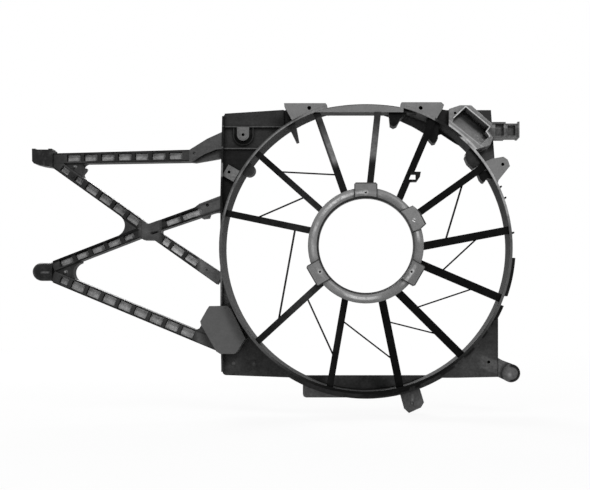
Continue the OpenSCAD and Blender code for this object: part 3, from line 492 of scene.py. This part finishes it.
def motor_tone(g):
    """The motor ring's pale dome, in painted light and shade: a painted highlight along its crest, pale at the
    screws, dark at the bore's step.
    """
    radius = g.radius()
    face = g.largest(g.step_mm(radius, 61.2, 62.0), g.times(g.step_mm(g.x, 15, 45), 0.55))
    patch = g.step(g.noise(19, 2, 0.5, shift=(4, 4, 1)), 0.44, 0.6)
    fine = g.step(g.noise(240, 4, 0.7, shift=(1, 6, 3)), 0.3, 0.62)
    tone = g.tint(0.8, g.times(g.band(radius, 64.8, 68.2, 1.1), patch), g.mix(fine, 0.6, 1.9))
    tone = g.times(tone, g.mix(g.step_mm(g.x, 30, -60), 0.92, 1.14))
    for angle in SCREW_ANGLES:
        along, across = along_lug(g, angle)
        off = g.math("SUBTRACT", along, SCREW_RADIUS * MM)
        reach = g.math("SQRT", g.math("MULTIPLY_ADD", off, off, g.times(across, across)))
        tone = g.tint(tone, g.step_mm(reach, 4.6, 1.6), 0.7)
        tone = g.tint(tone, g.step_mm(reach, 1.8, 1.5), 2.6)
    # the connector lug lies flat across the ring, with no crest highlight, a painted highlight on its slot and a
    # painted shade line on each side of it
    upper = off_line(g, (42, 42.2), (58.8, 49.7))
    lower = off_line(g, (56.3, 15.9), (67, 19.1))
    here = g.times(g.step_mm(g.x, 34, 36), g.step_mm(g.z, 4, 8))
    plate = g.times(g.step_mm(upper, 0.0, -0.5), g.step_mm(lower, 0.0, 0.5), here)
    tone = g.mix(plate, tone, g.mix(spot(g, CONNECTOR_SPOT, 1.6, 1.0), 0.86, 2.2))
    lines = g.largest(g.band(upper, -0.9, 0.7, 0.3), g.band(lower, -0.7, 0.9, 0.3))
    tone = g.dim(tone, g.times(lines, here), 0.85)
    outside = g.times(g.step_mm(radius, 73.0, 73.6), g.step_mm(g.y, -89.6, -89.0))
    return g.times(g.dim(tone, outside, 0.9), face)


def lug_tone(g):
    """The screw lugs: as the motor ring, with a painted shade line round each lug's face."""
    tone = motor_tone(g)
    for angle in SCREW_ANGLES:
        along, across = along_lug(g, angle)
        side = g.step_mm(across, LUG_HALF - 1.6, LUG_HALF - 0.9)
        end = g.step_mm(along, LUG_REACH - 1.7, LUG_REACH - 1.0)
        tone = g.dim(tone, g.times(g.step_mm(along, 50, 52), g.largest(side, end)), 0.88)
    return tone


def lit_middle(g):
    """The painted highlight on the middle of an upper spoke's front face, with painted shade along the left edge
    of the left one.
    """
    radius = g.radius()
    start = g.step_mm(radius, 104, 118)
    rest = g.mix(g.step_mm(radius, 118, 172), 1.35, 0.2)
    root = g.mix(g.step_mm(g.x, -40, -20), g.step_mm(radius, 180, 176), 1.0)
    split = g.mix(g.step_mm(off_line(g, (-63.9, 168.6), (-29.6, 74)), -1.6, 0.2), 0.35, 1.4)
    left = g.mix(g.step_mm(g.x, -10, -20), 1.0, split)
    return g.times(start, rest, root, left, g.forward(0.5))


def left_spokes(g):
    """Painted light on the left-hand spokes, a little paler toward the motor."""
    near = g.mix(g.step_mm(g.radius(), 90, 160), 1.0, 0.3)
    low = g.mix(g.step_mm(g.z, 20, -40), 0.6, 1.2)
    return g.times(g.step_mm(g.x, -20, -75), near, low)


def left_guards(g):
    """Painted light on the guard lugs on the left and at the top right, paler than those on the right."""
    upper = g.times(g.step_mm(g.z, 95, 108), g.step_mm(g.x, 95, 105), 0.7)
    return g.largest(g.step_mm(g.x, 20, -40), upper)


# ---------------------------------------------------------------- looks, and the nodes that wear them

# The looks are all the one black plastic: the differences of base, pale and side colour between them are painted
# light and shade.
POCKETED = {"base": 0.038, "pale": 0.42, "side": 0.005, "edge": -0.02, "specular": 0.1, "mottle": 0.25,
            "crease": 0.1, "truss_seam": True}
REST = "spoke"  # the look of every node that isn't named under another one
LOOKS = {
    "panel_pads": (["panel_top_left"], {
        "base": 0.029, "pale": 0.19, "where": raised_pads, "edge": 0.03, "specular": 0.06, "mottle": 0.25,
        "streak": 0.22, "seams": True}),
    "panel_dark": (["panel_top_right", "top_closing_panel"], {
        "base": 0.009, "pale": 0.055, "where": below_bucket, "edge": 0.03, "mottle": 0.25, "streak": 0.22,
        "seams": True}),
    "panel_mid": (["panel_bottom_left", "panel_bottom_right", "bottom_closing_panel"], {
        "base": 0.045, "pale": 0.2, "where": low_panel, "edge": 0.03, "specular": 0.07, "mottle": 0.3,
        "streak": 0.15, "crease": 0.5, "seams": True}),
    "flap": (["bottom_flap"], {"base": 0.11, "edge": 0.02, "mottle": 0.3}),
    "ring": (["fan_ring"], {
        "base": 0.005, "pale": 0.2, "where": ring_zones, "edge": 0.02, "rough": 0.6, "specular": 0.03,
        "mottle": 0.18}),
    "near_face": (["top_crescent", "top_tab_left", "top_tab_right", "right_ear"], {
        "base": 0.008, "pale": 0.18, "where": front_face, "edge": 0.06, "specular": 0.06, "mottle": 0.08}),
    "motor": (["motor_ring", "connector_lug"], {
        "base": 0.006, "pale": 0.2, "where": motor_tone, "edge": 0.08, "rough": 0.38, "specular": 0.35,
        "mottle": 0.12, "crease": 0.3}),
    "lugs": (["motor_lugs"], {
        "base": 0.006, "pale": 0.2, "where": lug_tone, "edge": 0.0, "rough": 0.4, "mottle": 0.14,
        "crease": 0.3}),
    REST: ([], {
        "base": 0.0045, "pale": 0.032, "where": left_spokes, "edge": 0.01, "rough": 0.6, "specular": 0.02,
        "mottle": 0.35}),
    "spoke_lit": (["spoke_08", "spoke_09"], {
        "base": 0.007, "pale": 0.09, "where": lit_middle, "edge": 0.03, "specular": 0.04, "mottle": 0.3}),
    "top_beam": (["top_beam"], {**POCKETED, "where": member(
        (-412, 119.1), (-233, 123), (13.4, 15.2), (-392, -243), outer=-0.03,
        gusset_side=-1, gusset_end=-368)}),
    "falling": (["upper_diagonal_outer"], {**POCKETED, "where": member(
        (-412, 114), HUB, (13, 13), (-400, -300), root=0.04, outer=-0.03,
        gusset_side=1, gusset_end=-368)}),
    "falling_in": (["upper_diagonal_inner"], {**POCKETED, "where": member(
        HUB, (-192, -40.4), (12.4, 16), (-271, -223), glow=1.6, root=0.2, outer=0.04)}),
    "rising": (["lower_diagonal_outer"], {**POCKETED, "where": member(
        (-413, -23.2), HUB, (13, 13), (-404, -300), upper=3.7, root=0.03, outer=-0.02,
        gusset_side=-1, gusset_end=-384)}),
    "rising_in": (["lower_diagonal_inner"], {**POCKETED, "where": member(
        HUB, (-192, 58.8), (13, 15), (-270, -226), glow=0.9, upper=4.2, lower=3.4, root=0.11, outer=0.04)}),
    "lower_beam": (["lower_beam"], {**POCKETED, "where": member(
        (-413, -36.4), (-190, -129.4), (15, 15), (-404, -226), dark=0.02, root=0.08, outer=-0.02,
        gusset_side=1, gusset_end=-384)}),
    "gusset": (["upper_gusset", "lower_gusset"], {
        "base": 0.034, "pale": 0.4, "where": gusset, "side": 0.005, "edge": -0.005, "specular": 0.1,
        "mottle": 0.3, "crease": 0.0, "truss_seam": True}),
    "end": (["end_block", "locating_peg"], {
        "base": 0.017, "pale": 0.2, "where": peg_streak, "edge": 0.03, "rough": 0.45, "specular": 0.06,
        "mottle": 0.3}),
    "root": (["top_beam_root"], {"base": 0.058, "side": 0.012, "edge": 0.03, "mottle": 0.25, "streak": 0.2}),
    "hub": (["crossing_hub"], {
        "base": 0.046, "pale": 0.4, "where": hub_tone, "side": 0.012, "edge": 0.03, "mottle": 0.25,
        "streak": 0.2, "truss_seam": True}),
    "cover": (["cover_pad"], {
        "base": 0.089, "edge": -0.05, "mottle": 0.08, "streak": 0.05, "streak_turn": 0.7}),
    "arm": (["lower_right_arm", "bottom_tab"], {
        "base": 0.098, "pale": 0.4, "where": tab_spot, "edge": 0.06, "specular": 0.08, "mottle": 0.3}),
    "dark": (["harness_clips", "cable_loop"], {
        "base": 0.008, "edge": 0.015, "specular": 0.06, "mottle": 0.4}),
    "link": (["link_block"], {"base": 0.014, "edge": 0.1, "specular": 0.1, "mottle": 0.5}),
    "guard": (["guard_lugs"], {
        "base": 0.006, "pale": 0.028, "where": left_guards, "edge": 0.01, "specular": 0.04, "mottle": 0.4}),
    "bucket": (["connector_bucket"], {
        "base": 0.006, "pale": 0.36, "where": bucket_tone, "edge": 0.3, "mottle": 0.2}),
    "clip": (["side_clip_box"], {
        "base": 0.09, "pale": 0.2, "where": clip_tone, "edge": 0.1, "mottle": 0.4}),
}
materials = {look: plastic(look, **settings) for look, (_, settings) in LOOKS.items()}
node_look = {node: look for look, (nodes, _) in LOOKS.items() for node in nodes}
for node_name, obj in NODES.items():
    material = materials[node_look.get(node_name, REST)]
    if not obj.material_slots:
        obj.data.materials.append(material)
    for slot in obj.material_slots:
        slot.material = material

# ---------------------------------------------------------------- floor and world

WHITE = (1.0, 1.0, 1.0, 1.0)
FLOOR_PAINT = (0.8, 0.8, 0.8, 1.0)
FLOOR_SIZE = 30.0
FLOOR_GAP = 0.0005  # between the part's lowest point and the floor
WORLD_STRENGTH = 0.26


def flat_plane(name, size, z):
    """A level square in the middle of the scene."""
    half = size / 2
    corners = [(-half, -half, z), (half, -half, z), (half, half, z), (-half, half, z)]
    mesh = bpy.data.meshes.new(name)
    mesh.from_pydata(corners, [], [(0, 1, 2, 3)])
    obj = bpy.data.objects.new(name, mesh)
    bpy.context.scene.collection.objects.link(obj)
    return obj


def seen_plainly(tree):
    """1 for a ray from the camera, or one that comes by gloss or glass."""
    path = tree.nodes.new("ShaderNodeLightPath")
    seen = path.outputs["Is Camera Ray"]
    for ray in ("Is Glossy Ray", "Is Transmission Ray"):
        either = tree.nodes.new("ShaderNodeMath")
        either.operation = "MAXIMUM"
        tree.links.new(seen, either.inputs[0])
        tree.links.new(path.outputs[ray], either.inputs[1])
        seen = either.outputs[0]
    return seen


def floor_paint():
    """White where it is seen, a little dimmer under the part, so that its shadow shows."""
    g = Graph("floor")
    away = g.math("SQRT", g.math("MULTIPLY_ADD", g.x, g.x, g.times(g.y, g.y)))
    glow = g.mix(g.step(away, 0.4, 2.2), 0.9, 1.0)
    paint = g.add("ShaderNodeBsdfDiffuse")
    g.link(FLOOR_PAINT, paint.inputs["Color"])
    light = g.add("ShaderNodeEmission")
    g.link(WHITE, light.inputs["Color"])
    blend = g.add("ShaderNodeMixShader")
    g.link(g.times(seen_plainly(g.tree), glow), blend.inputs[0])
    g.link(paint.outputs[0], blend.inputs[1])
    g.link(light.outputs[0], blend.inputs[2])
    g.link(blend.outputs[0], g.output.inputs["Surface"])
    return g.material


def background(tree, strength):
    """A plain white sky."""
    node = tree.nodes.new("ShaderNodeBackground")
    node.inputs["Color"].default_value = WHITE
    node.inputs["Strength"].default_value = strength
    return node.outputs[0]


floor = flat_plane("floor", FLOOR_SIZE, CAD_BOX[0][2] - FLOOR_GAP)
floor.data.materials.append(floor_paint())

scene = bpy.context.scene
world = bpy.data.worlds.new("studio")
scene.world = world
world.use_nodes = True
sky = world.node_tree
sky.nodes.clear()
choose = sky.nodes.new("ShaderNodeMixShader")
sky.links.new(seen_plainly(sky), choose.inputs[0])
sky.links.new(background(sky, WORLD_STRENGTH), choose.inputs[1])
sky.links.new(background(sky, 1.0), choose.inputs[2])
sky.links.new(choose.outputs[0], sky.nodes.new("ShaderNodeOutputWorld").inputs["Surface"])

# ---------------------------------------------------------------- lamps

LAMP_AIM = (-0.05, -0.03, 0.0)
LAMPS = {  # place, diameter in metres and power in watts
    "key": ((1.1, -2.2, 1.5), 1.0, 37),
    "top": ((-0.35, -1.2, 1.9), 0.8, 13),
    "back": ((-0.8, 2.0, 1.4), 1.6, 60),
}
for lamp_name, (place, diameter, power) in LAMPS.items():
    lamp_data = bpy.data.lights.new(lamp_name, "AREA")
    lamp_data.shape = "DISK"
    lamp_data.size = diameter
    lamp_data.energy = power
    lamp = bpy.data.objects.new(lamp_name, lamp_data)
    lamp.location = place
    lamp.rotation_euler = (Vector(LAMP_AIM) - Vector(place)).to_track_quat("-Z", "Y").to_euler()
    scene.collection.objects.link(lamp)

# ---------------------------------------------------------------- camera

PHOTO_WIDTH = 590
PHOTO_HEIGHT = 490
FOCAL_PIXELS = 932.8
AXIS_PIXEL = (366.25, 310.25)  # where the camera's axis meets the photograph
SENSOR_WIDTH = 36.0
CAMERA_AWAY = 1.2  # from the face of the ring's lip, in metres
CAMERA_X = 0.0005
CAMERA_Z = -0.0811
camera_data = bpy.data.cameras.new("camera")
camera_data.sensor_width = SENSOR_WIDTH
camera_data.lens = FOCAL_PIXELS / PHOTO_WIDTH * SENSOR_WIDTH
camera_data.shift_x = (PHOTO_WIDTH / 2 - AXIS_PIXEL[0]) / PHOTO_WIDTH
camera_data.shift_y = (AXIS_PIXEL[1] - PHOTO_HEIGHT / 2) / PHOTO_WIDTH
camera_data.clip_end = 60
camera = bpy.data.objects.new("camera", camera_data)
camera.location = (CAMERA_X, -(LIP_FRONT * MM + CAMERA_AWAY), CAMERA_Z)
camera.rotation_euler = (math.pi / 2, 0, 0)
scene.collection.objects.link(camera)
scene.camera = camera
scene.view_settings.view_transform = "Standard"
